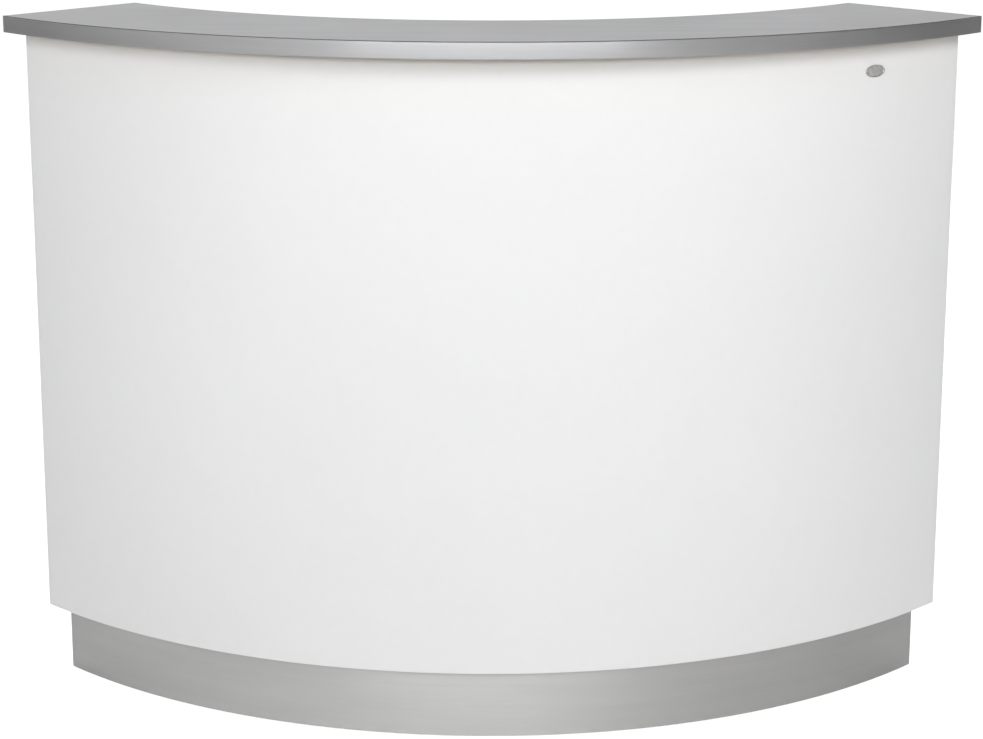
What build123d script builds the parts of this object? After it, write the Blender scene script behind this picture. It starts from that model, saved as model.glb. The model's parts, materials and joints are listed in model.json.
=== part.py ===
"""Quarter-ring retail checkout counter, built as separate boards, sheets and fittings.

Millimetres, +Z up. The customer side faces -Y and the staff side +Y. The origin is on the
floor, at the centre of the overall bounding box. Every board is laid out from the centre
line of the ring: angles run from straight ahead (-Y), positive towards +X.
"""
from build123d import *
from math import cos, radians, sin
import os

# Overall shape
HEIGHT = 1090.0                 # floor to the steel top
HALF_ANGLE = 45.0               # the module is a quarter ring
BOARD = 18.0                    # carcass board
FIT = 0.3                       # fitting gap against the bent front panel

# Counter top
TOP_OUTER = 1067.0
TOP_INNER = 814.0
TOP_CORE = 25.0
SHEET = 0.8                     # brushed steel sheet and strips
TOP_BOTTOM = HEIGHT - SHEET - TOP_CORE
SEAM = 0.1                      # open seam between the top sheet and an edge strip

# Bent front panel
PANEL_OUTER = 1027.0
LAMINATE = 1.0
PANEL_INNER = PANEL_OUTER - LAMINATE - BOARD
PANEL_BOTTOM = 121.0
PANEL_CORNER = 3.0
BOARD_OUTER = PANEL_INNER - FIT

# Plinth
KICK_OUTER = 989.0
KICK_SHEET = 1.2
KICK_CORNER = 9.0
KICK_BOTTOM = 3.0
KICK_TOP = PANEL_BOTTOM - 0.5
RIB_OUTER = KICK_OUTER - KICK_SHEET
RIB_INNER = RIB_OUTER - BOARD
RAIL_INNER = 700.0
RAIL_OUTER = RAIL_INNER + BOARD
RIB_BOTTOM = 4.0

# Staff side boards
WORKTOP_INNER = 590.0
WORKTOP = 25.0
WORKTOP_TOP = 880.0
WORKTOP_BOTTOM = WORKTOP_TOP - WORKTOP
EDGING = 1.0
DECK_INNER = 640.0
DECK_TOP = PANEL_BOTTOM + BOARD
RISER_INNER = 840.0
RISER_ANGLE = 15.0

# Storage units, one on each side of the middle, both facing the centre of the ring
BAY_ANGLE = 22.5
UNIT_HALF = 220.0
UNIT_BOARD = 16.0
UNIT_INSIDE = UNIT_HALF - UNIT_BOARD
UNIT_FRONT = 622.0
UNIT_BACK = 960.0
FRONT_HALF = 218.0
FRONT = (602.5, 620.5)          # drawer fronts and door, staff face first
FRONT_BOTTOM = DECK_TOP + 3.0
FRONT_TOP = WORKTOP_BOTTOM - 3.0

# Drawers
TILL_FRONT = (702.0, FRONT_TOP)
DRAWER_FRONT = (419.0, 699.0)
STEEL = 1.2                     # folded drawer boxes and slides
BOX_HALF = 191.0
BOX_DEPTH = (FRONT[1], 941.0)
TILL_BOX = (722.0, 812.0)
DRAWER_BOX = (436.0, 640.0)
SLIDE_LENGTH = (626.0, 926.0)
TILL_SLIDE_Z = 767.0
DRAWER_SLIDE_Z = 540.0
SLIDE_OUTER = ((0.0, 1.2), (0.0, 10.0), 22.5)
SLIDE_MIDDLE = ((3.0, 4.2), (3.0, 11.0), 19.5)
SLIDE_INNER = ((11.8, 13.0), (5.5, 13.0), 16.5)

# Till tray: an open tray, a cross divider and short dividers, all held in grooves
TRAY_HALF = 188.0
TRAY_DEPTH = (623.0, 938.0)
TRAY_HEIGHT = (TILL_BOX[0] + STEEL, 785.0)
TRAY_WALL = 3.0
TRAY_INSIDE = (TRAY_DEPTH[0] + TRAY_WALL, TRAY_DEPTH[1] - TRAY_WALL)
TRAY_FLOOR = TRAY_HEIGHT[0] + TRAY_WALL
DIVIDER_TOP = 780.0
DIVIDER = 3.0
CROSS_AT = sum(TRAY_INSIDE) / 2
CROSS_HALF = 2.0
GROOVE = 1.0                    # depth of the divider grooves
SLACK = 0.1                     # play of a divider in its groove, each way
COIN_BAYS = 4
NOTE_BAYS = 5

# Cam lock
LOCK_Z = 828.0
BARREL_RADIUS = 9.5
PLUG_RADIUS = 6.0
TAIL_RADIUS = 4.0
RUNNING = 0.05                  # radial clearance of a turning fit
CAM_REACH = 23.0
CAM = (627.0, 629.0)
STRIKE = (622.0, 636.0)         # bracket under the worktop that the cam turns up behind
STRIKE_HALF = 15.0
STRIKE_BOTTOM = 840.0
STRIKE_SHEET = 1.5

# Bow handles
HANDLE_RADIUS = 4.5
HANDLE_SPAN = 128.0
HANDLE_RISE = 28.0

# Door hinges
HINGE_AT = (221.0, 601.0)       # pin axis in the bay: across, outward
HINGE_Z = (250.0, 744.0)
KNUCKLE = 3.0
PIN_RADIUS = 1.5
LEAF = 1.5
LEAF_HALF = 30.0
MIDDLE_HALF = 10.0
KNUCKLE_GAP = 0.3

# Shelf in the cupboard
SHELF_Z = 480.0
PEG_RADIUS = 2.5
PEG_ROWS = (317.5, 397.5, 477.5, 557.5, 637.5)
PEG_DEPTHS = (672.0, 912.0)
PEG_HOLE = 10.0

# Cable grommet
GROMMET_AT = 930.0
GROMMET_BORE = 30.0             # radius of the hole in the worktop

# Adjustable legs: name, angle, radius
LEGS = (
    ("front_left", -38.0, 920.0),
    ("front_centre", 0.0, 920.0),
    ("front_right", 38.0, 920.0),
    ("rear_left", -33.0, 755.0),
    ("rear_right", 33.0, 755.0),
)
STEM_RADIUS = 11.0
SOCKET_BOTTOM = 40.0

# Carcass screws through the gables into the deck
SCREW_RADII = (700.0, 830.0, 960.0)
SCREW_Z = PANEL_BOTTOM + BOARD / 2
SCREW_RADIUS = 3.5
HEAD_RADIUS = 5.0
HEAD_DEPTH = 4.0
SCREW_LENGTH = 48.0

# Oval name plate, left blank
BADGE_ANGLE = 34.1
BADGE_Z = 1018.0
BADGE_SIZE = (37.0, 19.0)

# The centre line of the ring lies behind the counter, on the staff side
ARC_Y = (TOP_OUTER + WORKTOP_INNER * cos(radians(HALF_ANGLE))) / 2


# Layout helpers
def place(angle, radius, across=0.0, z=0.0):
    """World point at a radius along an angle, moved across it towards larger angles."""
    turn = radians(angle)
    x = radius * sin(turn) + across * cos(turn)
    y = ARC_Y - radius * cos(turn) + across * sin(turn)
    return (x, y, z)


def outward(angle):
    """Unit direction away from the centre of the ring."""
    return (sin(radians(angle)), -cos(radians(angle)), 0)


def sideways(angle, sign=1):
    """Unit direction across the outward one, towards larger angles."""
    return (sign * cos(radians(angle)), sign * sin(radians(angle)), 0)


def level(z):
    """Horizontal sketch plane centred on the ring."""
    return Plane(origin=(0, ARC_Y, z), x_dir=(1, 0, 0), z_dir=(0, 0, 1))


def spoke(angle, across=0.0):
    """Upright sketch plane: x runs outward, y runs up, the normal faces smaller angles."""
    return Plane(origin=place(angle, 0, across), x_dir=outward(angle), z_dir=sideways(angle, -1))


def facing(angle, across, radius, z):
    """Upright sketch plane looking at the staff."""
    origin = place(angle, radius, across, z)
    return Plane(origin=origin, x_dir=sideways(angle, -1), z_dir=outward(angle + 180))


def end_face(side, radius, z, depth=0.0):
    """Plane on the outer face of the right (+1) or left (-1) end, its normal outward."""
    angle = side * HALF_ANGLE
    origin = place(angle, radius, -side * depth, z)
    return Plane(origin=origin, x_dir=outward(angle), z_dir=sideways(angle, side))


def bay(angle):
    """Frame of a bay: x across, -y outward, z up, with its origin on the ring centre."""
    return Location((0, ARC_Y, 0), (0, 0, angle))


def block(across, out, up, mode=Mode.ADD):
    """Box in the current bay frame, each direction given as a (low, high) pair."""
    centre = (sum(across) / 2, -sum(out) / 2, sum(up) / 2)
    with Locations(centre):
        Box(across[1] - across[0], out[1] - out[0], up[1] - up[0], mode=mode)


def sector(inner, outer, inset=0.0, corner=0.0):
    """Ring sector in the current sketch, its straight ends pulled in by the inset."""
    turn = radians(HALF_ANGLE)
    ends = []
    for side, reach in ((-1, 0.5 * inner), (-1, 1.5 * outer), (1, 1.5 * outer), (1, 0.5 * inner)):
        x = side * (reach * sin(turn) - inset * cos(turn))
        y = -reach * cos(turn) - inset * sin(turn)
        ends.append((x, y))
    Circle(outer)
    Circle(inner, mode=Mode.SUBTRACT)
    Polygon(*ends, align=None, mode=Mode.INTERSECT)
    if corner:
        fillet(vertices().sort_by_distance((0, 0, 0))[-2:], corner)


def save(part, name):
    """Name one piece and write it out."""
    part.label = name
    export_step(part, f"parts/{name}.step")


# Shared shapes
def ring_board(name, radii, bottom, thickness, inset=0.0, corner=0.0):
    """Flat or bent board that follows the ring from end to end."""
    with BuildPart() as board:
        with BuildSketch(level(bottom)):
            sector(*radii, inset, corner)
        extrude(amount=thickness)
    save(board.part, name)


def wrapped_sheet(name, radii, core, bottom, height, inset, corner=0.0):
    """Thin skin round the long edge and both ends of a ring-shaped core."""
    inner_corner = max(corner - inset, 0.0)
    with BuildPart() as skin:
        with BuildSketch(level(bottom)):
            sector(*radii, 0.0, corner)
        extrude(amount=height)
        with BuildSketch(level(bottom)):
            sector(*core, inset, inner_corner)
        extrude(amount=height, mode=Mode.SUBTRACT)
    save(skin.part, name)


def bay_board(name, angle, across, out, up):
    """Plain rectangular board in a bay."""
    with BuildPart() as board:
        with Locations(bay(angle)):
            block(across, out, up)
    save(board.part, name)


def mirrored(span, side):
    """The same span across, on the right (+1) or left (-1) of a bay."""
    return tuple(sorted((side * span[0], side * span[1])))


# Counter top
def top_core():
    """Board inside the steel-clad top."""
    radii = (TOP_INNER + SHEET, TOP_OUTER - SHEET)
    ring_board("top_core", radii, TOP_BOTTOM, TOP_CORE, SHEET)


def top_sheet():
    """Steel sheet over the core, folded down over the two straight ends."""
    core = (TOP_INNER + SHEET, TOP_OUTER - SHEET)
    with BuildPart() as sheet:
        with BuildSketch(level(TOP_BOTTOM)):
            sector(*core)
        extrude(amount=TOP_CORE)
        with BuildSketch(level(TOP_BOTTOM)):
            sector(*core, SHEET)
        extrude(amount=TOP_CORE, mode=Mode.SUBTRACT)
        with BuildSketch(level(TOP_BOTTOM + TOP_CORE)):
            sector(TOP_INNER, TOP_OUTER)
        extrude(amount=SHEET)
    save(sheet.part, "top_sheet")


def top_strips():
    """Steel strips on the two curved edges of the top."""
    height = TOP_CORE - SEAM
    ring_board("top_strip_front", (TOP_OUTER - SHEET, TOP_OUTER), TOP_BOTTOM, height)
    ring_board("top_strip_rear", (TOP_INNER, TOP_INNER + SHEET), TOP_BOTTOM, height)


# Front
def front_panel():
    """Bent board behind the white front."""
    radii = (PANEL_INNER, PANEL_OUTER - LAMINATE)
    corner = PANEL_CORNER - LAMINATE
    height = TOP_BOTTOM - PANEL_BOTTOM
    ring_board("front_panel", radii, PANEL_BOTTOM, height, LAMINATE, corner)


def front_laminate():
    """White laminate over the front panel, turned in over its two ends."""
    radii = (PANEL_INNER, PANEL_OUTER)
    core = (PANEL_INNER, PANEL_OUTER - LAMINATE)
    height = TOP_BOTTOM - PANEL_BOTTOM
    wrapped_sheet("front_laminate", radii, core, PANEL_BOTTOM, height, LAMINATE, PANEL_CORNER)


def badge():
    """Blank oval metal plate with a raised rim, bonded to the front."""
    back = place(BADGE_ANGLE, PANEL_OUTER + RUNNING, 0, BADGE_Z)
    plane = Plane(origin=back, x_dir=sideways(BADGE_ANGLE), z_dir=outward(BADGE_ANGLE))
    with BuildPart() as plate:
        with BuildSketch(plane):
            Ellipse(BADGE_SIZE[0] / 2, BADGE_SIZE[1] / 2)
        extrude(amount=2.0)
        with BuildSketch(plane.offset(2.0)):
            Ellipse(BADGE_SIZE[0] / 2 - 1.6, BADGE_SIZE[1] / 2 - 1.6)
        extrude(amount=-0.6, mode=Mode.SUBTRACT)
        rim = plate.faces().sort_by(Axis(back, outward(BADGE_ANGLE)))[-1]
        chamfer(rim.edges(), 0.3)
    save(plate.part, "badge")


# Plinth
def plinth():
    """Upright plinth boards: bent front rib, bent rear rail and two radial end rails."""
    height = PANEL_BOTTOM - RIB_BOTTOM
    corner = KICK_CORNER - KICK_SHEET
    ring_board("plinth_rib", (RIB_INNER, RIB_OUTER), RIB_BOTTOM, height, KICK_SHEET, corner)
    ring_board("plinth_rail", (RAIL_INNER, RAIL_OUTER), RIB_BOTTOM, height, KICK_SHEET)
    for side, name in ((-1, "plinth_end_left"), (1, "plinth_end_right")):
        across = mirrored((-KICK_SHEET - BOARD, -KICK_SHEET), side)
        out = (RAIL_OUTER + FIT, RIB_INNER - 3 * FIT)
        bay_board(name, side * HALF_ANGLE, across, out, (RIB_BOTTOM, PANEL_BOTTOM))


def kick_plate():
    """Brushed steel kick plate bent round the plinth and its ends."""
    radii = (RAIL_INNER, KICK_OUTER)
    core = (RAIL_INNER, RIB_OUTER)
    height = KICK_TOP - KICK_BOTTOM
    wrapped_sheet("kick_plate", radii, core, KICK_BOTTOM, height, KICK_SHEET, KICK_CORNER)


def leg_sockets():
    """Moulded leg sockets under the deck, one for each adjustable foot."""
    tube = PANEL_BOTTOM - SOCKET_BOTTOM
    with BuildPart() as sockets:
        for _, angle, radius in LEGS:
            with BuildSketch(Plane.XY.offset(SOCKET_BOTTOM)):
                with Locations(place(angle, radius)[:2]):
                    Circle(STEM_RADIUS + 5.0)
                    Circle(STEM_RADIUS + RUNNING, mode=Mode.SUBTRACT)
            extrude(amount=tube)
            with BuildSketch(Plane.XY.offset(PANEL_BOTTOM - 5.0)):
                with Locations(place(angle, radius)[:2]):
                    Circle(32.0)
                    Circle(STEM_RADIUS + RUNNING, mode=Mode.SUBTRACT)
            extrude(amount=5.0)
    save(sockets.part, "leg_sockets")


def feet():
    """Screw-adjusted feet the counter stands on."""
    for name, angle, radius in LEGS:
        with BuildPart() as foot:
            with BuildSketch(Plane.XY):
                with Locations(place(angle, radius)[:2]):
                    Circle(25.0)
            extrude(amount=8.0)
            chamfer(foot.edges().filter_by(GeomType.CIRCLE), 1.0)
            with BuildSketch(Plane.XY.offset(8.0)):
                with Locations(place(angle, radius)[:2]):
                    Circle(STEM_RADIUS)
            extrude(amount=80.0)
        save(foot.part, f"foot_{name}")


# Staff side carcass
def deck():
    """Bottom board on the plinth, drilled at its ends for the carcass screws."""
    with BuildPart() as board:
        with BuildSketch(level(PANEL_BOTTOM)):
            sector(DECK_INNER, BOARD_OUTER, BOARD)
        extrude(amount=BOARD)
        for side in (-1, 1):
            for radius in SCREW_RADII:
                with Locations(end_face(side, radius, SCREW_Z, BOARD)):
                    Hole(SCREW_RADIUS, SCREW_LENGTH - BOARD)
    save(board.part, "deck")


def gables():
    """End panels under the worktop, drilled for the carcass screws."""
    for side, name in ((-1, "gable_left"), (1, "gable_right")):
        with BuildPart() as gable:
            with Locations(bay(side * HALF_ANGLE)):
                across = mirrored((-BOARD, 0), side)
                out = (DECK_INNER, BOARD_OUTER)
                block(across, out, (PANEL_BOTTOM, WORKTOP_BOTTOM))
            for radius in SCREW_RADII:
                with Locations(end_face(side, radius, SCREW_Z)):
                    CounterBoreHole(SCREW_RADIUS, HEAD_RADIUS, HEAD_DEPTH, BOARD)
        save(gable.part, name)


def carcass_screws():
    """Carcass screws joining gables and deck, heads flush with the gables."""
    with BuildPart() as screws:
        for side in (-1, 1):
            for radius in SCREW_RADII:
                with BuildSketch(end_face(side, radius, SCREW_Z)):
                    Circle(HEAD_RADIUS)
                extrude(amount=-HEAD_DEPTH)
                with BuildSketch(end_face(side, radius, SCREW_Z)):
                    Circle(SCREW_RADIUS)
                extrude(amount=-SCREW_LENGTH)
                with BuildSketch(end_face(side, radius, SCREW_Z)):
                    RegularPolygon(2.0, 6)
                extrude(amount=-2.5, mode=Mode.SUBTRACT)
    save(screws.part, "carcass_screws")


def worktop():
    """Staff worktop with the cable hole."""
    with BuildPart() as board:
        with BuildSketch(level(WORKTOP_BOTTOM)):
            sector(WORKTOP_INNER + EDGING, BOARD_OUTER, EDGING)
            with Locations((0, -GROMMET_AT)):
                Circle(GROMMET_BORE, mode=Mode.SUBTRACT)
        extrude(amount=WORKTOP)
    save(board.part, "worktop")


def worktop_edging():
    """Edging round the staff edge and the two ends of the worktop."""
    with BuildPart() as band:
        with BuildSketch(level(WORKTOP_BOTTOM)):
            sector(WORKTOP_INNER, BOARD_OUTER)
        extrude(amount=WORKTOP)
        with BuildSketch(level(WORKTOP_BOTTOM)):
            sector(WORKTOP_INNER + EDGING, BOARD_OUTER, EDGING)
        extrude(amount=WORKTOP, mode=Mode.SUBTRACT)
    save(band.part, "worktop_edging")


def risers():
    """Radial boards that carry the counter top above the worktop."""
    spans = (
        ("riser_left", -HALF_ANGLE, (0, BOARD)),
        ("riser_middle_left", -RISER_ANGLE, (-BOARD / 2, BOARD / 2)),
        ("riser_middle_right", RISER_ANGLE, (-BOARD / 2, BOARD / 2)),
        ("riser_right", HALF_ANGLE, (-BOARD, 0)),
    )
    up = (WORKTOP_TOP, TOP_BOTTOM)
    for name, angle, across in spans:
        bay_board(name, angle, across, (RISER_INNER, BOARD_OUTER), up)


def grommet():
    """Cable grommet: flanged ring in the worktop and a turning cap with a cable notch."""
    seat = WORKTOP_TOP + 1.0
    rim = WORKTOP_TOP + 3.0
    with BuildPart() as ring:
        with BuildSketch(level(WORKTOP_TOP - 18.0)):
            with Locations((0, -GROMMET_AT)):
                Circle(GROMMET_BORE - 0.1)
                Circle(GROMMET_BORE - 3.0, mode=Mode.SUBTRACT)
        extrude(amount=19.0)
        with BuildSketch(level(WORKTOP_TOP)):
            with Locations((0, -GROMMET_AT)):
                Circle(GROMMET_BORE + 7.0)
                Circle(GROMMET_BORE - 3.0, mode=Mode.SUBTRACT)
        extrude(amount=rim - WORKTOP_TOP)
        with BuildSketch(level(seat)):
            with Locations((0, -GROMMET_AT)):
                Circle(GROMMET_BORE + 2.0)
        extrude(amount=rim - seat, mode=Mode.SUBTRACT)
    save(ring.part, "grommet_ring")
    with BuildPart() as cap:
        with BuildSketch(level(seat)):
            with Locations((0, -GROMMET_AT)):
                Circle(GROMMET_BORE + 2.0 - FIT)
        extrude(amount=rim - seat)
        with BuildSketch(level(seat - 6.0)):
            with Locations((0, -GROMMET_AT)):
                Circle(GROMMET_BORE - 3.0 - FIT)
                Circle(GROMMET_BORE - 5.0, mode=Mode.SUBTRACT)
        extrude(amount=6.0)
        with BuildSketch(level(seat - 6.0)):
            with Locations((0, -GROMMET_AT + GROMMET_BORE - 6.0)):
                SlotCenterToCenter(20.0, 15.0, rotation=90)
        extrude(amount=10.0, mode=Mode.SUBTRACT)
    save(cap.part, "grommet_cap")


# Storage units
def unit_sides():
    """Upright sides of both storage units, the cupboard ones drilled for shelf pegs."""
    across = (UNIT_INSIDE, UNIT_HALF)
    out = (UNIT_FRONT, UNIT_BACK)
    up = (DECK_TOP, WORKTOP_BOTTOM)
    bay_board("drawer_side_outer", -BAY_ANGLE, mirrored(across, -1), out, up)
    bay_board("drawer_side_inner", -BAY_ANGLE, across, out, up)
    for side, name in ((-1, "cupboard_side_inner"), (1, "cupboard_side_outer")):
        with BuildPart() as board:
            with Locations(bay(BAY_ANGLE)):
                block(mirrored(across, side), out, up)
            for depth in PEG_DEPTHS:
                for z in PEG_ROWS:
                    start = place(BAY_ANGLE, depth, side * UNIT_INSIDE, z)
                    normal = sideways(BAY_ANGLE, -side)
                    with Locations(Plane(origin=start, z_dir=normal)):
                        Hole(PEG_RADIUS, PEG_HOLE)
        save(board.part, name)


def unit_boards():
    """Fixed board under the drawers, and the upright strip that closes the middle gap."""
    across = (-UNIT_INSIDE, UNIT_INSIDE)
    top = DRAWER_FRONT[0] - 3.0
    bay_board("drawer_unit_board", -BAY_ANGLE, across, (UNIT_FRONT, UNIT_BACK), (top - BOARD, top))
    bay_board("middle_filler", 0.0, (-34.5, 34.5), (660.0, 676.0), (DECK_TOP, WORKTOP_BOTTOM))


def cupboard_shelf():
    """Adjustable shelf and the four pegs it lies on."""
    half = UNIT_INSIDE - 1.5
    bay_board("cupboard_shelf", BAY_ANGLE, (-half, half), (640.0, 955.0), (SHELF_Z, SHELF_Z + BOARD))
    with BuildPart() as pegs:
        for side in (-1, 1):
            for depth in PEG_DEPTHS:
                start = place(BAY_ANGLE, depth, side * UNIT_INSIDE, SHELF_Z - PEG_RADIUS)
                wall = Plane(origin=start, x_dir=outward(BAY_ANGLE), z_dir=sideways(BAY_ANGLE, side))
                with BuildSketch(wall):
                    Circle(PEG_RADIUS)
                extrude(amount=PEG_HOLE - 1.0)
                with Locations(bay(BAY_ANGLE)):
                    tongue = mirrored((UNIT_INSIDE - 7.0, UNIT_INSIDE), side)
                    block(tongue, (depth - 5.0, depth + 5.0), (SHELF_Z - 5.0, SHELF_Z))
    save(pegs.part, "shelf_pegs")


# Slides
def slide_pair(member, z, bay_angle=-BAY_ANGLE):
    """Left and right channel of one slide member, in the current part."""
    web, lips, half = member
    for side in (-1, 1):
        with Locations(bay(bay_angle)):
            for span, heights in (
                (web, (z - half, z + half)),
                (lips, (z - half, z - half + STEEL)),
                (lips, (z + half - STEEL, z + half)),
            ):
                across = mirrored((UNIT_INSIDE - span[1], UNIT_INSIDE - span[0]), side)
                block(across, SLIDE_LENGTH, heights)


def slides():
    """Three-member drawer slides: cabinet members, then middle and drawer members."""
    with BuildPart() as fixed:
        slide_pair(SLIDE_OUTER, TILL_SLIDE_Z)
        slide_pair(SLIDE_OUTER, DRAWER_SLIDE_Z)
    save(fixed.part, "slides_cabinet")
    for name, z in (("till", TILL_SLIDE_Z), ("drawer", DRAWER_SLIDE_Z)):
        with BuildPart() as middle:
            slide_pair(SLIDE_MIDDLE, z)
        save(middle.part, f"{name}_slides_middle")
        with BuildPart() as moving:
            slide_pair(SLIDE_INNER, z)
        save(moving.part, f"{name}_slides_inner")


# Drawers
def steel_box(name, up):
    """Folded steel drawer box, open at the top."""
    with BuildPart() as box:
        with Locations(bay(-BAY_ANGLE)):
            block((-BOX_HALF, BOX_HALF), BOX_DEPTH, up)
            inside = (-BOX_HALF + STEEL, BOX_HALF - STEEL)
            depth = (BOX_DEPTH[0] + STEEL, BOX_DEPTH[1] - STEEL)
            block(inside, depth, (up[0] + STEEL, up[1]), Mode.SUBTRACT)
    save(box.part, name)


def till_front():
    """Till drawer front, bored for the lock."""
    with BuildPart() as board:
        with Locations(bay(-BAY_ANGLE)):
            block((-FRONT_HALF, FRONT_HALF), FRONT, TILL_FRONT)
        with Locations(facing(-BAY_ANGLE, 0, FRONT[0], LOCK_Z)):
            Hole(BARREL_RADIUS, BOARD)
    save(board.part, "till_front")


def divider_places(bays):
    """Middles of the dividers between equal bays across the tray."""
    inside = TRAY_HALF - TRAY_WALL
    pitch = (2 * inside + DIVIDER) / bays
    return [i * pitch - inside - DIVIDER / 2 for i in range(1, bays)]


def till_tray():
    """Moulded till tray with grooves for its dividers."""
    inside = TRAY_HALF - TRAY_WALL
    up = (TRAY_FLOOR, TRAY_HEIGHT[1])
    half = DIVIDER / 2 + SLACK
    cross = CROSS_HALF + SLACK
    front = (TRAY_INSIDE[0] - GROOVE, TRAY_INSIDE[0])
    rear = (TRAY_INSIDE[1], TRAY_INSIDE[1] + GROOVE)
    with BuildPart() as tray:
        with Locations(bay(-BAY_ANGLE)):
            block((-TRAY_HALF, TRAY_HALF), TRAY_DEPTH, TRAY_HEIGHT)
            block((-inside, inside), TRAY_INSIDE, up, Mode.SUBTRACT)
            ends = (-inside - GROOVE, inside + GROOVE)
            block(ends, (CROSS_AT - cross, CROSS_AT + cross), up, Mode.SUBTRACT)
            for bays, wall in ((COIN_BAYS, front), (NOTE_BAYS, rear)):
                for middle in divider_places(bays):
                    block((middle - half, middle + half), wall, up, Mode.SUBTRACT)
    save(tray.part, "till_tray")


def till_dividers():
    """Cross divider of the till tray and the seven short dividers between it and the walls."""
    reach = TRAY_HALF - TRAY_WALL + GROOVE - SLACK
    up = (TRAY_FLOOR, DIVIDER_TOP)
    half = DIVIDER / 2 + SLACK
    near = (CROSS_AT - CROSS_HALF, CROSS_AT - CROSS_HALF + GROOVE)
    far = (CROSS_AT + CROSS_HALF - GROOVE, CROSS_AT + CROSS_HALF)
    with BuildPart() as cross:
        with Locations(bay(-BAY_ANGLE)):
            block((-reach, reach), (near[0], far[1]), up)
            for bays, side in ((COIN_BAYS, near), (NOTE_BAYS, far)):
                for middle in divider_places(bays):
                    block((middle - half, middle + half), side, up, Mode.SUBTRACT)
    save(cross.part, "till_cross_divider")
    coins = (TRAY_INSIDE[0] - GROOVE + SLACK, near[1] - SLACK)
    notes = (far[0] + SLACK, TRAY_INSIDE[1] + GROOVE - SLACK)
    with BuildPart() as plates:
        with Locations(bay(-BAY_ANGLE)):
            for bays, out in ((COIN_BAYS, coins), (NOTE_BAYS, notes)):
                for middle in divider_places(bays):
                    block((middle - DIVIDER / 2, middle + DIVIDER / 2), out, up)
    save(plates.part, "till_dividers")


def till_lock():
    """Cam lock of the till: barrel in the front, turning plug, and the cam on its tail."""
    nose = FRONT[0] - 2.0
    with BuildPart() as barrel:
        with BuildSketch(facing(-BAY_ANGLE, 0, FRONT[0], LOCK_Z)):
            Circle(BARREL_RADIUS + 2.0)
            Circle(PLUG_RADIUS + RUNNING, mode=Mode.SUBTRACT)
        extrude(amount=2.0)
        with BuildSketch(facing(-BAY_ANGLE, 0, CAM[0] - 0.5, LOCK_Z)):
            Circle(BARREL_RADIUS)
            Circle(PLUG_RADIUS + RUNNING, mode=Mode.SUBTRACT)
        extrude(amount=CAM[0] - 0.5 - FRONT[0])
    save(barrel.part, "till_lock_barrel")
    with BuildPart() as plug:
        with BuildSketch(facing(-BAY_ANGLE, 0, CAM[0], LOCK_Z)):
            Circle(PLUG_RADIUS)
        extrude(amount=CAM[0] - nose)
        with BuildSketch(facing(-BAY_ANGLE, 0, CAM[1], LOCK_Z)):
            Circle(TAIL_RADIUS)
        extrude(amount=CAM[1] - CAM[0])
        with BuildSketch(facing(-BAY_ANGLE, 0, nose, LOCK_Z)):
            Rectangle(1.8, 8.0)
        extrude(amount=-9.0, mode=Mode.SUBTRACT)
    save(plug.part, "till_lock_plug")
    with BuildPart() as cam:
        with BuildSketch(facing(-BAY_ANGLE, 0, CAM[1], LOCK_Z)):
            Circle(8.0)
            with Locations((-CAM_REACH / 2, 0)):
                Rectangle(CAM_REACH, 14.0)
            Circle(TAIL_RADIUS, mode=Mode.SUBTRACT)
        extrude(amount=CAM[1] - CAM[0])
    save(cam.part, "till_lock_cam")


def lock_strike():
    """Angle bracket under the worktop that holds the till shut behind the turned-up cam."""
    across = (-STRIKE_HALF, STRIKE_HALF)
    with BuildPart() as bracket:
        with Locations(bay(-BAY_ANGLE)):
            hook = (STRIKE[0], STRIKE[0] + STRIKE_SHEET)
            block(across, hook, (STRIKE_BOTTOM, WORKTOP_BOTTOM))
            block(across, STRIKE, (WORKTOP_BOTTOM - STRIKE_SHEET, WORKTOP_BOTTOM))
    save(bracket.part, "lock_strike")


def bow_handle(name, plane, near, far):
    """Bow handle bent from round bar, its two feet at the near and far points."""
    with BuildPart() as handle:
        with BuildLine(plane) as path:
            FilletPolyline(near[0], near[1], far[1], far[0], radius=3 * HANDLE_RADIUS)
        with BuildSketch(Plane(origin=path.line @ 0, z_dir=path.line % 0)):
            Circle(HANDLE_RADIUS)
        sweep(path=path.line)
    save(handle.part, name)


def handles():
    """Bow handles of the till, the drawer and the door."""
    half = HANDLE_SPAN / 2
    feet_at, bow_at = -FRONT[0], -FRONT[0] + HANDLE_RISE
    for name, z in (("till_handle", 755.0), ("drawer_handle", 640.0)):
        plane = Plane(Location((0, ARC_Y, z), (0, 0, -BAY_ANGLE)))
        near = ((-half, feet_at), (-half, bow_at))
        far = ((half, feet_at), (half, bow_at))
        bow_handle(name, plane, near, far)
    low, high = 590.0, 590.0 + HANDLE_SPAN
    near = ((FRONT[0], low), (FRONT[0] - HANDLE_RISE, low))
    far = ((FRONT[0], high), (FRONT[0] - HANDLE_RISE, high))
    bow_handle("door_handle", spoke(BAY_ANGLE, -FRONT_HALF + 35.0), near, far)


# Door hinges
def hinge_round(z, radius, half, mode=Mode.ADD):
    """Cylinder on the hinge axis, in the current part."""
    across, out = HINGE_AT
    with Locations((across, -out, z)):
        Cylinder(radius, 2 * half, mode=mode)


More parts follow.
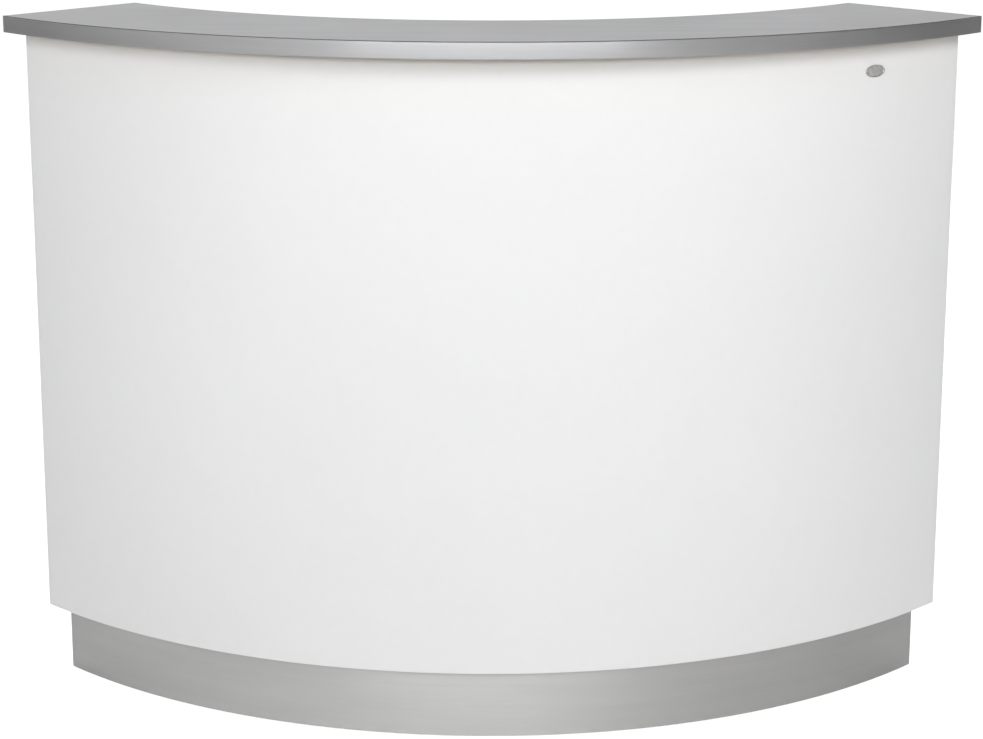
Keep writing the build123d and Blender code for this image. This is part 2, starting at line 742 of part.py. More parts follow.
def hinges():
    """Two butt hinges: bored door leaves, and side leaves with their pins fixed in them."""
    out = HINGE_AT[1]
    outer_half = (LEAF_HALF - MIDDLE_HALF - KNUCKLE_GAP) / 2
    outer_shift = LEAF_HALF - outer_half
    with BuildPart() as door_leaves:
        with Locations(bay(BAY_ANGLE)):
            for z in HINGE_Z:
                face = (FRONT_HALF, FRONT_HALF + LEAF)
                block(face, (out + 4.0, FRONT[1] - 1.0), (z - LEAF_HALF, z + LEAF_HALF))
                block(face, (out, out + 4.0), (z - MIDDLE_HALF, z + MIDDLE_HALF))
                hinge_round(z, KNUCKLE, MIDDLE_HALF)
                hinge_round(z, PIN_RADIUS + RUNNING, MIDDLE_HALF, Mode.SUBTRACT)
    save(door_leaves.part, "hinge_leaves_door")
    with BuildPart() as side_leaves:
        with Locations(bay(BAY_ANGLE)):
            for z in HINGE_Z:
                face = (UNIT_HALF, UNIT_HALF + LEAF)
                block(face, (out + 5.0, UNIT_FRONT + 24.0), (z - LEAF_HALF, z + LEAF_HALF))
                for shift in (-outer_shift, outer_shift):
                    middle = z + shift
                    block(face, (out, out + 5.0), (middle - outer_half, middle + outer_half))
                    hinge_round(middle, KNUCKLE, outer_half)
                hinge_round(z, PIN_RADIUS, LEAF_HALF)
    save(side_leaves.part, "hinge_leaves_side")


def main():
    """Build and write every piece."""
    os.makedirs("parts", exist_ok=True)
    top_core()
    top_sheet()
    top_strips()
    front_panel()
    front_laminate()
    badge()
    plinth()
    kick_plate()
    leg_sockets()
    feet()
    deck()
    gables()
    carcass_screws()
    worktop()
    worktop_edging()
    risers()
    grommet()
    unit_sides()
    unit_boards()
    cupboard_shelf()
    slides()
    steel_box("till_box", TILL_BOX)
    steel_box("drawer_box", DRAWER_BOX)
    till_front()
    till_tray()
    till_dividers()
    till_lock()
    lock_strike()
    bay_board("drawer_front", -BAY_ANGLE, (-FRONT_HALF, FRONT_HALF), FRONT, DRAWER_FRONT)
    bay_board("door", BAY_ANGLE, (-FRONT_HALF, FRONT_HALF), FRONT, (FRONT_BOTTOM, FRONT_TOP))
    handles()
    hinges()


main()
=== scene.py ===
"""Looks of the curved checkout counter: brushed steel top and kick plate, satin white front."""
import json
from math import asin, atan2, cos, pi, radians, sin, sqrt

import bpy
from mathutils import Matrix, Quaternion, Vector

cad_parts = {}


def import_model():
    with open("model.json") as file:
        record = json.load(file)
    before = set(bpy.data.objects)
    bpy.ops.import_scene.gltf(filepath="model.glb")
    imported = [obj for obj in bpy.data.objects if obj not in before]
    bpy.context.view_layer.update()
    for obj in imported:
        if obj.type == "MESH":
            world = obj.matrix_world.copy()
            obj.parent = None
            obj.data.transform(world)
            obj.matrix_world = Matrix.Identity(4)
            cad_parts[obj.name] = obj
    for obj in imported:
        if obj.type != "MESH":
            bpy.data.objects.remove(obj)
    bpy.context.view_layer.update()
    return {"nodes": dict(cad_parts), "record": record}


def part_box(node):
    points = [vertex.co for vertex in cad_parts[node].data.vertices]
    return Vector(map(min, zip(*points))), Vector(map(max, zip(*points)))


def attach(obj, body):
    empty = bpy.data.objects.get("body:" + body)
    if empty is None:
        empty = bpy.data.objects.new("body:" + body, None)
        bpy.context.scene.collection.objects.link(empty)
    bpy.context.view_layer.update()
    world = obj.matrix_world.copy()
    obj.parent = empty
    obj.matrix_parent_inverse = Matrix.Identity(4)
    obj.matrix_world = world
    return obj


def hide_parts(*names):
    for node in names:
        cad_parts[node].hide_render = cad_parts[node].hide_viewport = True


MM = 0.001
HALF_ANGLE = radians(45)
ARC_STEPS = 180                 # spans of a fine mesh along the whole ring
CORNER_STEPS = 8
SHEET_GAUGE = 0.7 * MM          # thickness of the top sheet
SHEET_SETBACK = 0.5 * MM        # top sheet's cut edges behind the strips' faces
SHEET_BEND = 1.6 * MM           # fold of the top sheet over the straight ends
SHEET_ROWS = 12
CUT_EDGE_ROUND = 0.08 * MM
STRIP_GAUGE = 0.8 * MM
STRIP_ROUND = 1.2 * MM          # rounded long edges of both strips
LAMINATE_GAUGE = 1.0 * MM
LAMINATE_CORNER = 3.0 * MM      # bend of the laminate at the straight ends
KICK_GAUGE = 1.2 * MM
KICK_CORNER = 9.0 * MM
SKIN_EDGE_ROUND = 0.5 * MM      # rounded long edges of the laminate and the kick plate
SHARP_ANGLE = radians(40)       # edges that turn more than this stay crisp

BADGE_TURNS = 72
BADGE_LIFT = 0.05 * MM
BADGE_CROWN = 1.6               # height of the badge's middle, in millimetres
BADGE_PROFILE = (               # share of the half width, and height in millimetres, from the edge in
    (1.0, 0.0), (1.0, 0.9), (0.985, 1.45), (0.955, 1.85), (0.92, 2.0), (0.885, 1.85),
    (0.86, 1.45), (0.84, 1.2), (0.80, 1.15), (0.72, 1.22), (0.5, 1.42), (0.25, 1.56),
)
BADGE_RIM_ROWS = 7              # rows of the badge's profile that belong to its rim

EDGE_ROUND = {                  # rounding of the CAD pieces' edges by finish
    "brushed_steel_top": 0.2 * MM,
    "brushed_steel_kick": 0.2 * MM,
    "white_laminate": 0.2 * MM,
    "white_melamine": 0.4 * MM,
    "white_edging": 0.3 * MM,
    "raw_board": 0.3 * MM,
    "zinc_steel": 0.2 * MM,
    "grey_steel": 0.3 * MM,
    "satin_nickel": 0.4 * MM,
    "black_plastic": 0.4 * MM,
    "grey_plastic": 0.4 * MM,
}
WELD_REACH = 0.001 * MM
FLAT_ANGLE = radians(0.5)       # faces closer to flat than this are joined before rounding

ROOM_SHARE = 0.35               # share of the room's light that reaches dull surfaces
FLOOR_LIFT = 0.90               # light added to the floor where the camera sees it
ROOM_SIDES = (                  # soft bright sides of the room: direction, where each starts, strength
    ((0.0, 1.0, 0.0), 0.0, 0.90),
    ((0.0, -1.0, 0.0), 0.0, 0.68),
    ((-0.71, -0.71, 0.0), 0.2, 0.62),
    ((0.71, -0.71, 0.0), 0.2, 0.18),
)
LIGHTS = (                      # place, target (both from the counter's front), size, power
    ((0.0, -3.9, 2.05), (0.0, 0.0, 0.75), (4.2, 0.60), 43),
    ((-3.2, -2.6, 1.9), (-0.4, 0.0, 0.7), (2.0, 0.5), 22),
    ((3.2, -2.6, 1.9), (0.4, 0.0, 0.7), (2.0, 0.5), 15),
    ((-2.6, -2.6, 3.0), (-0.4, 0.0, 0.7), (1.6, 1.2), 37),
    ((2.6, -2.6, 3.0), (0.4, 0.0, 0.7), (1.6, 1.2), 60),
    ((0.0, 4.4, 2.3), (0.0, 0.4, 0.6), (3.6, 1.2), 85),
)

LENS = 86.86                    # millimetres, on a 36 mm sensor
SHIFT_Y = -0.1063
CAMERA_X = -0.0371
CAMERA_DISTANCE = 4.402         # in front of the ring's centre line
CAMERA_HEIGHT = 1.523
PITCH, YAW, ROLL = 0.2229, 0.0096, 0.0014


# ---------------------------------------------------------------- the ring's geometry
class Ring:
    """Centre line of the counter's arc, worked out from the front strip of the top."""

    def __init__(self):
        low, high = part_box("top_strip_front")
        self.radius = high.x / sin(HALF_ANGLE)
        self.y = low.y + self.radius

    def outer(self, node):
        """Outer radius of a ring-shaped node."""
        return self.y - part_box(node)[0].y

    def inner(self, node):
        """Inner radius of a ring-shaped node."""
        return (self.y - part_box(node)[1].y) / cos(HALF_ANGLE)

    def at(self, angle, radius, across=0.0, z=0.0):
        """Point at a radius along an angle, moved across it towards larger angles."""
        x = radius * sin(angle) + across * cos(angle)
        y = self.y - radius * cos(angle) + across * sin(angle)
        return Vector((x, y, z))


def outward(angle):
    """Unit direction away from the ring's centre line."""
    return Vector((sin(angle), -cos(angle), 0))


def end_path(ring, side, inner, outer, corner):
    """Plan points and normals from the inner edge along a straight end and round its corner."""
    normal = side * Vector((cos(side * HALF_ANGLE), sin(side * HALF_ANGLE), 0))
    reach = sqrt((outer - corner) ** 2 - corner ** 2)
    points = []
    for step in range(9):
        radius = inner + (reach - inner) * step / 8
        points.append((ring.at(side * HALF_ANGLE, radius), normal))
    centre = ring.at(side * HALF_ANGLE, reach, -side * corner)
    start = side * (HALF_ANGLE + pi / 2)
    finish = side * (HALF_ANGLE - asin(corner / (outer - corner)))
    for step in range(1, CORNER_STEPS):
        way = outward(start + (finish - start) * step / CORNER_STEPS)
        points.append((centre + corner * way, way))
    return points, finish


def arc_path(ring, outer, first, last):
    """Plan points and outward normals along the ring between two angles."""
    path = []
    for step in range(ARC_STEPS + 1):
        angle = first + (last - first) * step / ARC_STEPS
        path.append((ring.at(angle, outer), outward(angle)))
    return path


def cornered_path(ring, inner, outer, corner):
    """Plan path of a skin turned in over both straight ends."""
    left, first = end_path(ring, -1, inner, outer, corner)
    right, last = end_path(ring, 1, inner, outer, corner)
    return left + arc_path(ring, outer, first, last) + right[::-1]


def rounded_section(thickness, low, high, radius):
    """Cross-section of a skin with rounded edges: depth behind its face against height."""
    section = []
    for step in range(CORNER_STEPS + 1):
        turn = pi / 2 * step / CORNER_STEPS
        section.append((radius * (1 - sin(turn)), low + radius * (1 - cos(turn))))
    for step in range(CORNER_STEPS + 1):
        turn = pi / 2 * step / CORNER_STEPS
        section.append((radius * (1 - cos(turn)), high - radius * (1 - sin(turn))))
    back = max(thickness, radius + 0.1 * MM)
    section += [(back, high), (back, low)]
    return section


# ---------------------------------------------------------------- mesh building
def mesh_object(name, vertices, faces, uvs=None, smooth=True):
    """New object from vertices and faces, with one UV pair per face corner if given."""
    mesh = bpy.data.meshes.new(name)
    mesh.from_pydata(vertices, [], faces)
    if uvs:
        layer = mesh.uv_layers.new(name="UVMap")
        for loop, uv in zip(layer.data, uvs):
            loop.uv = uv
    mesh.validate()
    mesh.update()
    for polygon in mesh.polygons:
        polygon.use_smooth = smooth
    mesh.set_sharp_from_angle(angle=SHARP_ANGLE)
    made = bpy.data.objects.new(name, mesh)
    bpy.context.scene.collection.objects.link(made)
    return made


def sweep(name, path, section):
    """Skin with the section swept along the plan path: U runs along it and V round the section."""
    count, rows = len(path), len(section)
    along, around = [0.0], [0.0]
    for (a, _), (b, _) in zip(path, path[1:]):
        along.append(along[-1] + (b - a).length)
    for a, b in zip(section, section[1:] + section[:1]):
        around.append(around[-1] + sqrt((b[0] - a[0]) ** 2 + (b[1] - a[1]) ** 2))
    vertices, faces, uvs = [], [], []
    for point, normal in path:
        for depth, height in section:
            vertices.append((*(point - depth * normal).xy, height))
    for i in range(count - 1):
        for j in range(rows):
            k = (j + 1) % rows
            faces.append((i * rows + j, (i + 1) * rows + j, (i + 1) * rows + k, i * rows + k))
            uvs += [(along[i], around[j]), (along[i + 1], around[j])]
            uvs += [(along[i + 1], around[j + 1]), (along[i], around[j + 1])]
    start = tuple(range(rows))[::-1]
    finish = tuple((count - 1) * rows + j for j in range(rows))
    for cap in (start, finish):
        faces.append(cap)
        uvs += [(section[v % rows][0], section[v % rows][1]) for v in cap]
    return mesh_object(name, vertices, faces, uvs)


def soften(piece, width, segments=3):
    """Small rounding along the piece's sharp edges."""
    bevel = piece.modifiers.new("edges", "BEVEL")
    bevel.width = width
    bevel.segments = segments
    bevel.limit_method = "ANGLE"
    bevel.angle_limit = SHARP_ANGLE
    bevel.harden_normals = True


def dress(piece, body, node, material):
    """Give a piece its material and body, in place of the CAD node it stands for."""
    piece.data.materials.clear()
    piece.data.materials.append(material)
    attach(piece, body)
    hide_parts(node)


# ---------------------------------------------------------------- materials
def node(tree, kind, sockets=None, **settings):
    """Add a shader node, set its options, and set or link its sockets."""
    made = tree.nodes.new(kind)
    for key, value in settings.items():
        setattr(made, key, value)
    for key, value in (sockets or {}).items():
        if isinstance(value, bpy.types.NodeSocket):
            tree.links.new(value, made.inputs[key])
        else:
            made.inputs[key].default_value = value
    return made


def shader(name, **sockets):
    """New material with a Principled shader whose constant sockets are set directly."""
    material = bpy.data.materials.new(name)
    material.use_nodes = True
    bsdf = material.node_tree.nodes["Principled BSDF"]
    for key, value in sockets.items():
        bsdf.inputs[key.replace("_", " ")].default_value = value
    return material, material.node_tree, bsdf


def noise(tree, vector, scale, detail=3.0, roughness=0.5):
    """Noise value between 0 and 1 over a vector."""
    sockets = {"Vector": vector, "Scale": scale, "Detail": detail, "Roughness": roughness}
    return node(tree, "ShaderNodeTexNoise", sockets).outputs["Fac"]


def stretched(tree, vector, scale):
    """Vector scaled differently along each direction."""
    sockets = {"Vector": vector, "Scale": scale}
    return node(tree, "ShaderNodeMapping", sockets).outputs["Vector"]


def ranged(tree, value, low, high, start=0.3, end=0.7):
    """Value remapped from start..end to low..high."""
    sockets = {"Value": value, "From Min": start, "From Max": end, "To Min": low, "To Max": high}
    return node(tree, "ShaderNodeMapRange", sockets).outputs["Result"]


def blend(tree, factor, dark, light):
    """Colour between dark and light."""
    mix = node(tree, "ShaderNodeMix", {"Factor": factor}, data_type="RGBA")
    mix.inputs["A"].default_value = (*dark, 1)
    mix.inputs["B"].default_value = (*light, 1)
    return mix.outputs["Result"]


def edge_wear_and_highlight(tree, colour, edge, strength, radius):
    """Colour changed towards the edge colour where the surface turns sharply: rubbed or thinned edges,
    and on the brushed steel also a painted highlight.
    """
    bevel = node(tree, "ShaderNodeBevel", {"Radius": radius}, samples=4).outputs["Normal"]
    flat = node(tree, "ShaderNodeNewGeometry").outputs["Normal"]
    dot = node(tree, "ShaderNodeVectorMath", {0: bevel, 1: flat}, operation="DOT_PRODUCT")
    edge_share = ranged(tree, dot.outputs["Value"], strength, 0.0, 0.80, 0.995)
    mix = node(tree, "ShaderNodeMix", {"Factor": edge_share, "A": colour}, data_type="RGBA")
    mix.inputs["B"].default_value = (*edge, 1)
    return mix.outputs["Result"]


def bump(tree, height, strength, distance, normal=None):
    """Bump normal from a height value."""
    sockets = {"Height": height, "Strength": strength, "Distance": distance}
    if normal:
        sockets["Normal"] = normal
    return node(tree, "ShaderNodeBump", sockets).outputs["Normal"]


def brushed_steel(name, dark, light, roughness, anisotropy):
    """Steel brushed along U: fine grain, broad bands, faint smudges, and lighter sharp edges that are
    partly rubbed wear and partly a painted highlight.
    """
    brushed = {"Anisotropic": anisotropy, "Anisotropic_Rotation": 0.25}
    material, tree, bsdf = shader(name, Metallic=1.0, **brushed)
    place = node(tree, "ShaderNodeTexCoord").outputs["UV"]
    fine = noise(tree, stretched(tree, place, (6, 2600, 2600)), 1.0, 4.0, 0.7)
    strands = noise(tree, stretched(tree, place, (1.6, 520, 520)), 1.0, 3.0, 0.6)
    bands = noise(tree, stretched(tree, place, (3.2, 34, 34)), 1.0, 3.0, 0.5)
    clouds = noise(tree, place, 5.0, 3.0, 0.5)
    mixed = node(tree, "ShaderNodeMix", {"Factor": 0.5, "A": fine, "B": strands}).outputs["Result"]
    tone = node(tree, "ShaderNodeMix", {"Factor": 0.4, "A": mixed, "B": bands}).outputs["Result"]
    colour = blend(tree, ranged(tree, tone, 0.0, 1.0, 0.32, 0.68), dark, light)
    # lighter sharp edges: partly rubbed wear, partly a painted highlight where the edges would catch
    # the light
    colour = edge_wear_and_highlight(tree, colour, (0.80, 0.80, 0.80), 0.4, 0.0005)
    tree.links.new(colour, bsdf.inputs["Base Color"])
    smudged = node(tree, "ShaderNodeMath", {0: mixed, 1: clouds}, operation="ADD")
    rough = ranged(tree, smudged.outputs["Value"], roughness - 0.06, roughness + 0.08, 0.6, 1.4)
    tree.links.new(rough, bsdf.inputs["Roughness"])
    tree.links.new(bump(tree, mixed, 0.35, 0.00006), bsdf.inputs["Normal"])
    tangent = node(tree, "ShaderNodeTangent", direction_type="UV_MAP", uv_map="UVMap")
    tree.links.new(tangent.outputs["Tangent"], bsdf.inputs["Tangent"])
    return material


def satin_laminate(name, dark, light, roughness, grain=0.2):
    """High-pressure laminate: nearly even white, faint mottling and a fine pebbled surface."""
    material, tree, bsdf = shader(name, IOR=1.48, Specular_IOR_Level=0.45)
    place = node(tree, "ShaderNodeTexCoord").outputs["Object"]
    clouds = noise(tree, place, 2.3, 4.0, 0.5)
    mottle = noise(tree, place, 60.0, 3.0, 0.6)
    tone = node(tree, "ShaderNodeMix", {"Factor": 0.35, "A": clouds, "B": mottle})
    colour = blend(tree, ranged(tree, tone.outputs["Result"], 0.0, 1.0), dark, light)
    tree.links.new(colour, bsdf.inputs["Base Color"])
    pebble = noise(tree, place, 900.0, 2.0, 0.5)
    rough = ranged(tree, mottle, roughness - 0.04, roughness + 0.06)
    tree.links.new(rough, bsdf.inputs["Roughness"])
    tree.links.new(bump(tree, pebble, grain, 0.00005), bsdf.inputs["Normal"])
    return material


def melamine(name, dark, light):
    """Melamine-faced board: white with a soft orange-peel texture."""
    return satin_laminate(name, dark, light, 0.46, 0.4)


def bare_board(name, dark, light):
    """Bendable board with long pale fibres and darker flecks."""
    material, tree, bsdf = shader(name, Specular_IOR_Level=0.3)
    place = node(tree, "ShaderNodeTexCoord").outputs["Object"]
    fibres = noise(tree, stretched(tree, place, (40, 40, 900)), 1.0, 4.0, 0.6)
    flecks = noise(tree, place, 260.0, 2.0, 0.5)
    tone = node(tree, "ShaderNodeMix", {"Factor": 0.4, "A": fibres, "B": flecks})
    colour = blend(tree, ranged(tree, tone.outputs["Result"], 0.0, 1.0), dark, light)
    tree.links.new(colour, bsdf.inputs["Base Color"])
    tree.links.new(ranged(tree, fibres, 0.65, 0.85), bsdf.inputs["Roughness"])
    tree.links.new(bump(tree, fibres, 0.5, 0.0003), bsdf.inputs["Normal"])
    return material


def plated_steel(name, dark, light, roughness):
    """Zinc or nickel plate: slightly cloudy metal, brighter where edges are rubbed."""
    material, tree, bsdf = shader(name, Metallic=1.0)
    place = node(tree, "ShaderNodeTexCoord").outputs["Object"]
    clouds = noise(tree, place, 45.0, 4.0, 0.6)
    scratches = noise(tree, stretched(tree, place, (900, 900, 60)), 1.0, 3.0, 0.6)
    colour = blend(tree, ranged(tree, clouds, 0.0, 1.0), dark, light)
    tree.links.new(edge_wear_and_highlight(tree, colour, (0.9, 0.9, 0.9), 0.6, 0.0006), bsdf.inputs["Base Color"])
    tree.links.new(ranged(tree, scratches, roughness - 0.06, roughness + 0.1), bsdf.inputs["Roughness"])
    tree.links.new(bump(tree, scratches, 0.15, 0.00003), bsdf.inputs["Normal"])
    return material


def stamped_plate(name, dark, light):
    """Die-cast plate with a hammered field: dark in its hollows, rubbed bright on its high spots."""
    material, tree, bsdf = shader(name, Metallic=1.0)
    place = node(tree, "ShaderNodeTexCoord").outputs["Object"]
    cells = node(tree, "ShaderNodeTexVoronoi", {"Vector": place, "Scale": 520.0}).outputs["Distance"]
    clouds = noise(tree, place, 300.0, 3.0, 0.6)
    tone = node(tree, "ShaderNodeMix", {"Factor": 0.5, "A": cells, "B": clouds}).outputs["Result"]
    colour = blend(tree, ranged(tree, tone, 0.0, 1.0, 0.25, 0.60), dark, light)
    tree.links.new(edge_wear_and_highlight(tree, colour, (0.5, 0.5, 0.5), 0.5, 0.0006), bsdf.inputs["Base Color"])
    tree.links.new(ranged(tree, clouds, 0.40, 0.60), bsdf.inputs["Roughness"])
    tree.links.new(bump(tree, tone, 0.6, 0.0006), bsdf.inputs["Normal"])
    return material


def coated_steel(name, dark, light):
    """Powder-coated steel: fine texture, with the coat thinning at its edges."""
    material, tree, bsdf = shader(name, Specular_IOR_Level=0.5)
    place = node(tree, "ShaderNodeTexCoord").outputs["Object"]
    clouds = noise(tree, place, 14.0, 3.0, 0.5)
    texture = noise(tree, place, 1400.0, 2.0, 0.5)
    colour = blend(tree, ranged(tree, clouds, 0.0, 1.0), dark, light)
    edge = tuple(min(1.0, 1.5 * value) for value in light)
    tree.links.new(edge_wear_and_highlight(tree, colour, edge, 0.7, 0.0008), bsdf.inputs["Base Color"])
    tree.links.new(ranged(tree, texture, 0.38, 0.52), bsdf.inputs["Roughness"])
    tree.links.new(bump(tree, texture, 0.4, 0.00006), bsdf.inputs["Normal"])
    return material


def moulded_plastic(name, dark, light, roughness):
    """Injection-moulded plastic with a fine spark-eroded texture."""
    material, tree, bsdf = shader(name, IOR=1.5, Specular_IOR_Level=0.5)
    place = node(tree, "ShaderNodeTexCoord").outputs["Object"]
    clouds = noise(tree, place, 20.0, 3.0, 0.5)
    texture = noise(tree, place, 1800.0, 2.0, 0.5)
    colour = blend(tree, ranged(tree, clouds, 0.0, 1.0), dark, light)
    edge = tuple(min(1.0, 0.04 + 1.6 * value) for value in light)
    tree.links.new(edge_wear_and_highlight(tree, colour, edge, 0.6, 0.0006), bsdf.inputs["Base Color"])
    tree.links.new(ranged(tree, texture, roughness - 0.06, roughness + 0.08), bsdf.inputs["Roughness"])
    tree.links.new(bump(tree, texture, 0.35, 0.00005), bsdf.inputs["Normal"])
    return material


def make_materials():
    """Every finish by its slot name in the record, and the badge's own."""
    steel_top = (0.52, 0.523, 0.53), (0.62, 0.623, 0.633)
    steel_kick = (0.65, 0.65, 0.65), (0.74, 0.74, 0.735)
    laminate = (0.825, 0.83, 0.828), (0.855, 0.86, 0.858)
    melamine_white = (0.80, 0.80, 0.79), (0.84, 0.84, 0.83)
    edging = (0.78, 0.78, 0.77), (0.82, 0.82, 0.81)
    board = (0.30, 0.20, 0.11), (0.55, 0.41, 0.26)
    zinc = (0.50, 0.51, 0.54), (0.66, 0.67, 0.70)
    grey_coat = (0.30, 0.31, 0.32), (0.36, 0.37, 0.38)
    nickel = (0.56, 0.55, 0.53), (0.68, 0.67, 0.65)
    stamped = (0.62, 0.61, 0.59), (0.98, 0.97, 0.95)
    black = (0.016, 0.016, 0.017), (0.028, 0.028, 0.03)
    grey = (0.20, 0.21, 0.22), (0.25, 0.26, 0.27)
    return {
        "brushed_steel_top": brushed_steel("steel_top", *steel_top, 0.40, 0.8),
        "brushed_steel_kick": brushed_steel("steel_kick", *steel_kick, 0.42, 0.8),
        "white_laminate": satin_laminate("white_laminate", *laminate, 0.36),
        "white_melamine": melamine("white_melamine", *melamine_white),
        "white_edging": satin_laminate("white_edging", *edging, 0.32),
        "raw_board": bare_board("raw_board", *board),
        "zinc_steel": plated_steel("zinc_steel", *zinc, 0.34),
        "grey_steel": coated_steel("grey_steel", *grey_coat),
        "satin_nickel": plated_steel("satin_nickel", *nickel, 0.27),
        "stamped_badge": stamped_plate("stamped_badge", *stamped),
        "black_plastic": moulded_plastic("black_plastic", *black, 0.42),
        "grey_plastic": moulded_plastic("grey_plastic", *grey, 0.40),
    }


# ---------------------------------------------------------------- fine pieces
def steel_top(ring, steel, painted_seam_shade):
    """Top sheet folded down over the straight ends, its cut edges set back a little and given a black
    material as painted shade in the seam.
    """
    low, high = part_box("top_sheet")
    outer = ring.radius - SHEET_SETBACK
    inner = ring.inner("top_sheet") + SHEET_SETBACK
    fold = [(0.0, low.z), (0.0, (low.z + high.z) / 2)]
    for step in range(CORNER_STEPS + 1):
        turn = pi / 2 * step / CORNER_STEPS
        fold.append((SHEET_BEND * (1 - cos(turn)), high.z - SHEET_BEND * (1 - sin(turn))))
    columns = [(-HALF_ANGLE, shift, z) for shift, z in fold]
    reach = HALF_ANGLE - atan2(SHEET_BEND + 0.1 * MM, inner)
    for step in range(ARC_STEPS + 1):
        columns.append((reach * (2 * step / ARC_STEPS - 1), 0.0, high.z))
    columns += [(HALF_ANGLE, -shift, z) for shift, z in fold[::-1]]
    rows = [inner + (outer - inner) * step / SHEET_ROWS for step in range(SHEET_ROWS + 1)]
    vertices, faces, uvs = [], [], []
    for angle, across, z in columns:
        for radius in rows:
            vertices.append(ring.at(angle, radius, across, z))
    width = len(rows)
    for i in range(len(columns) - 1):
        for j in range(width - 1):
            near, far = i * width + j, (i + 1) * width + j
            face = (near, near + 1, far + 1, far)
            faces.append(face)
            for v in face:
                angle, across, z = columns[v // width]
                down = high.z - z if angle > 0 else z - high.z
                uvs.append((vertices[v].x + down, vertices[v].y))
    piece = mesh_object("top_sheet_folded", vertices, faces, uvs)
    gauge = piece.modifiers.new("gauge", "SOLIDIFY")
    gauge.thickness = SHEET_GAUGE
    gauge.offset = -1
    # the sheet's rim takes the second material, black plastic: painted shade in the seam between the
    # sheet and the strips
    gauge.material_offset_rim = 1
    soften(piece, CUT_EDGE_ROUND, 1)
    dress(piece, "carcass", "top_sheet", steel)
    piece.data.materials.append(painted_seam_shade)


def rear_strip(ring, material):
    """Steel strip on the staff-side edge of the top, facing the ring's centre line."""
    low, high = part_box("top_strip_rear")
    radius = ring.inner("top_strip_rear")
    reach = HALF_ANGLE - (SHEET_GAUGE + SHEET_SETBACK) / radius
    path = [(point, -normal) for point, normal in arc_path(ring, radius, reach, -reach)]
    section = rounded_section(STRIP_GAUGE, low.z, high.z, STRIP_ROUND)
    piece = sweep("top_strip_rear_bent", path, section)
    dress(piece, "carcass", "top_strip_rear", material)


def front_strip(ring, material):
    """Steel strip on the front edge of the top."""
    low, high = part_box("top_strip_front")
    radius = ring.outer("top_strip_front")
    reach = HALF_ANGLE - (SHEET_GAUGE + SHEET_SETBACK) / radius
    section = rounded_section(STRIP_GAUGE, low.z, high.z, STRIP_ROUND)
    piece = sweep("top_strip_front_bent", arc_path(ring, radius, -reach, reach), section)
    dress(piece, "carcass", "top_strip_front", material)


def bent_skin(ring, node, gauge, corner, material):
    """Sheet bent over the front of the counter and turned in over its straight ends."""
    low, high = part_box(node)
    path = cornered_path(ring, ring.inner(node), ring.outer(node), corner)
    piece = sweep(f"{node}_bent", path, rounded_section(gauge, low.z, high.z, SKIN_EDGE_ROUND))
    dress(piece, "carcass", node, material)


def oval_badge(ring, field, rim):
    """Blank oval plate: rolled rim, a groove inside it and a softly domed field."""
    low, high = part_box("badge")
    middle = (low + high) / 2
    angle = atan2(middle.x, ring.y - middle.y)
    half_height = (high.z - low.z) / 2
    half_width = (high.x - low.x) / 2 / cos(angle)
    face = ring.outer("front_laminate") + BADGE_LIFT
    turns = BADGE_TURNS
    across = Vector((cos(angle), sin(angle), 0))
    out = outward(angle)
    centre = ring.at(angle, face, 0, middle.z)
    vertices, faces = [], []
    for share, rise in BADGE_PROFILE:
        for step in range(turns):
            turn = 2 * pi * step / turns
            shift = across * half_width * share * cos(turn) + out * rise * MM
            vertices.append(centre + shift + Vector((0, 0, half_height * share * sin(turn))))
    for i in range(len(BADGE_PROFILE) - 1):
        for j in range(turns):
            k = (j + 1) % turns
            faces.append((i * turns + j, i * turns + k, (i + 1) * turns + k, (i + 1) * turns + j))
    last = (len(BADGE_PROFILE) - 1) * turns
    vertices.append(centre + out * BADGE_CROWN * MM)
    for j in range(turns):
        faces.append((last + j, last + (j + 1) % turns, len(vertices) - 1))
    faces.append(tuple(range(turns))[::-1])
    piece = mesh_object("badge_oval", vertices, faces)
    dress(piece, "carcass", "badge", field)
    piece.data.materials.append(rim)
    for polygon in piece.data.polygons[:BADGE_RIM_ROWS * turns]:
        polygon.material_index = 1


def dress_cad(frame, materials):
    """Materials and softened edges on the CAD pieces that are shown as they are."""
    for entry in frame["record"]["subparts"]:
        piece = frame["nodes"][entry["node"]]
        slot = entry["material_slot"]
        piece.data.materials.clear()
        piece.data.materials.append(materials[slot])
        weld = piece.modifiers.new("joined", "WELD")
        weld.merge_threshold = WELD_REACH
        flat = piece.modifiers.new("flat faces", "DECIMATE")
        flat.decimate_type = "DISSOLVE"
        flat.angle_limit = FLAT_ANGLE
        soften(piece, EDGE_ROUND[slot])


# ---------------------------------------------------------------- studio
def floor():
    """Large pale floor, lifted to white where it is seen directly."""
    half = 60.0
    corners = [(-half, -half, 0), (half, -half, 0), (half, half, 0), (-half, half, 0)]
    ground = mesh_object("studio_floor", corners, [(0, 1, 2, 3)], smooth=False)
    material, tree, bsdf = shader("studio_floor", Specular_IOR_Level=0.0, Roughness=1.0)
    place = node(tree, "ShaderNodeTexCoord").outputs["Object"]
    shade = ranged(tree, noise(tree, place, 0.7), 0.0, 1.0)
    colour = blend(tree, shade, (0.69, 0.69, 0.69), (0.71, 0.71, 0.71))
    tree.links.new(colour, bsdf.inputs["Base Color"])
    bsdf.inputs["Emission Color"].default_value = (1, 1, 1, 1)
    seen = node(tree, "ShaderNodeLightPath").outputs["Is Camera Ray"]
    lift = node(tree, "ShaderNodeMath", {0: seen, 1: FLOOR_LIFT}, operation="MULTIPLY")
    tree.links.new(lift.outputs["Value"], bsdf.inputs["Emission Strength"])
    ground.data.materials.append(material)


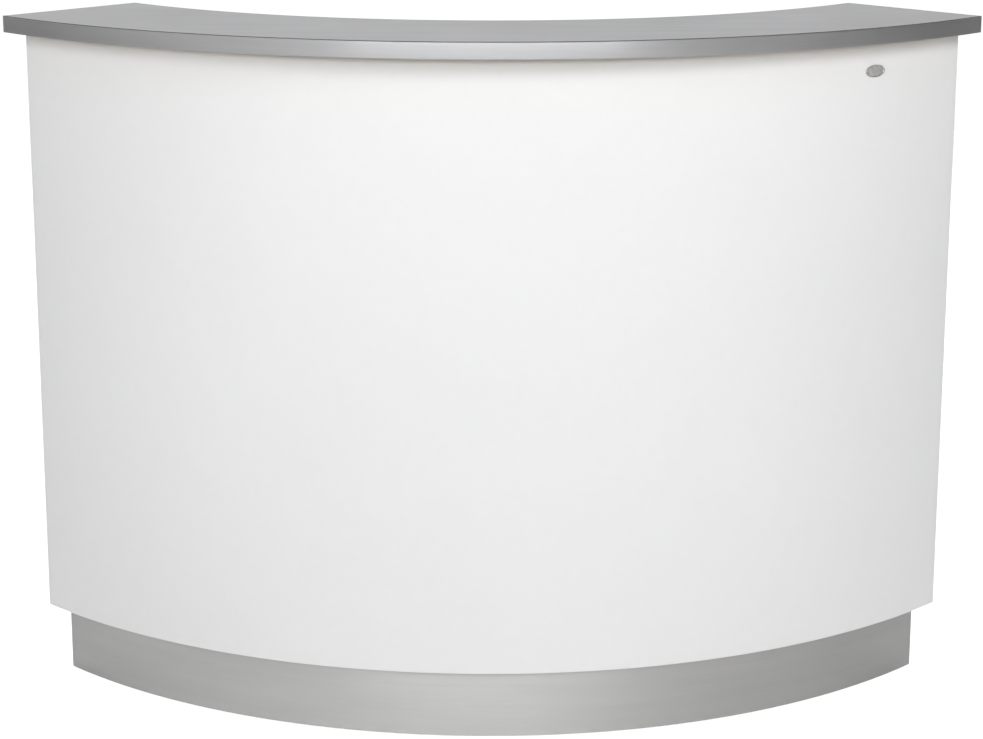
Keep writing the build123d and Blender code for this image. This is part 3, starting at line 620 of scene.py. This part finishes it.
def world():
    """Pale room: white where it is seen directly, unevenly bright around the counter."""
    made = bpy.data.worlds.new("studio")
    made.use_nodes = True
    tree = made.node_tree
    background = tree.nodes["Background"]
    way = node(tree, "ShaderNodeTexCoord").outputs["Generated"]
    total = 0.0
    for direction, start, strength in ROOM_SIDES:
        facing = node(tree, "ShaderNodeVectorMath", {0: way, 1: direction}, operation="DOT_PRODUCT")
        side = ranged(tree, facing.outputs["Value"], 0.0, strength, start, 0.9)
        total = node(tree, "ShaderNodeMath", {0: total, 1: side}, operation="ADD").outputs["Value"]
    path = node(tree, "ShaderNodeLightPath").outputs
    share = ranged(tree, path["Is Diffuse Ray"], 1.0, ROOM_SHARE, 0.0, 1.0)
    shared = node(tree, "ShaderNodeMath", {0: total, 1: share}, operation="MULTIPLY").outputs["Value"]
    sockets = {"Factor": path["Is Camera Ray"], "A": shared, "B": 1.0}
    shown = node(tree, "ShaderNodeMix", sockets).outputs["Result"]
    tree.links.new(shown, background.inputs["Strength"])
    background.inputs["Color"].default_value = (1, 1, 1, 1)
    bpy.context.scene.world = made


def area_light(name, place, target, size, power):
    """Soft rectangular light aimed at a point."""
    data = bpy.data.lights.new(name, "AREA")
    data.shape = "RECTANGLE"
    data.size, data.size_y = size
    data.energy = power
    light = bpy.data.objects.new(name, data)
    light.location = place
    light.rotation_euler = (target - place).to_track_quat("-Z", "Y").to_euler()
    bpy.context.scene.collection.objects.link(light)
    return light


def lights(ring):
    """Wide soft box in front of the counter, fills at both sides and one on the staff side."""
    front = Vector((0, ring.y - ring.radius, 0))
    for number, (place, target, size, power) in enumerate(LIGHTS):
        spot, aim = front + Vector(place), front + Vector(target)
        light = area_light(f"soft_{number}", spot, aim, size, power)
        light.visible_glossy = number == 0  # only the wide box in front shows in the steel


def camera(ring):
    """Camera at standing height, looking slightly down at the counter."""
    data = bpy.data.cameras.new("camera")
    data.sensor_width = 36.0
    data.lens = LENS
    data.shift_y = SHIFT_Y
    made = bpy.data.objects.new("camera", data)
    made.location = (CAMERA_X, ring.y - CAMERA_DISTANCE, CAMERA_HEIGHT)
    forward = Vector((sin(YAW) * cos(PITCH), cos(YAW) * cos(PITCH), -sin(PITCH)))
    turn = forward.to_track_quat("-Z", "Y") @ Quaternion((0, 0, 1), ROLL)
    made.rotation_euler = turn.to_euler()
    bpy.context.scene.collection.objects.link(made)
    bpy.context.scene.camera = made


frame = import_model()
bpy.context.scene.view_settings.view_transform = "Standard"
ring = Ring()
materials = make_materials()
dress_cad(frame, materials)
# black plastic on the top sheet's cut edges is painted shade in the seam
steel_top(ring, materials["brushed_steel_top"], materials["black_plastic"])
front_strip(ring, materials["brushed_steel_top"])
bent_skin(ring, "front_laminate", LAMINATE_GAUGE, LAMINATE_CORNER, materials["white_laminate"])
bent_skin(ring, "kick_plate", KICK_GAUGE, KICK_CORNER, materials["brushed_steel_kick"])
rear_strip(ring, materials["brushed_steel_top"])
oval_badge(ring, materials["stamped_badge"], materials["satin_nickel"])
floor()
world()
lights(ring)
camera(ring)
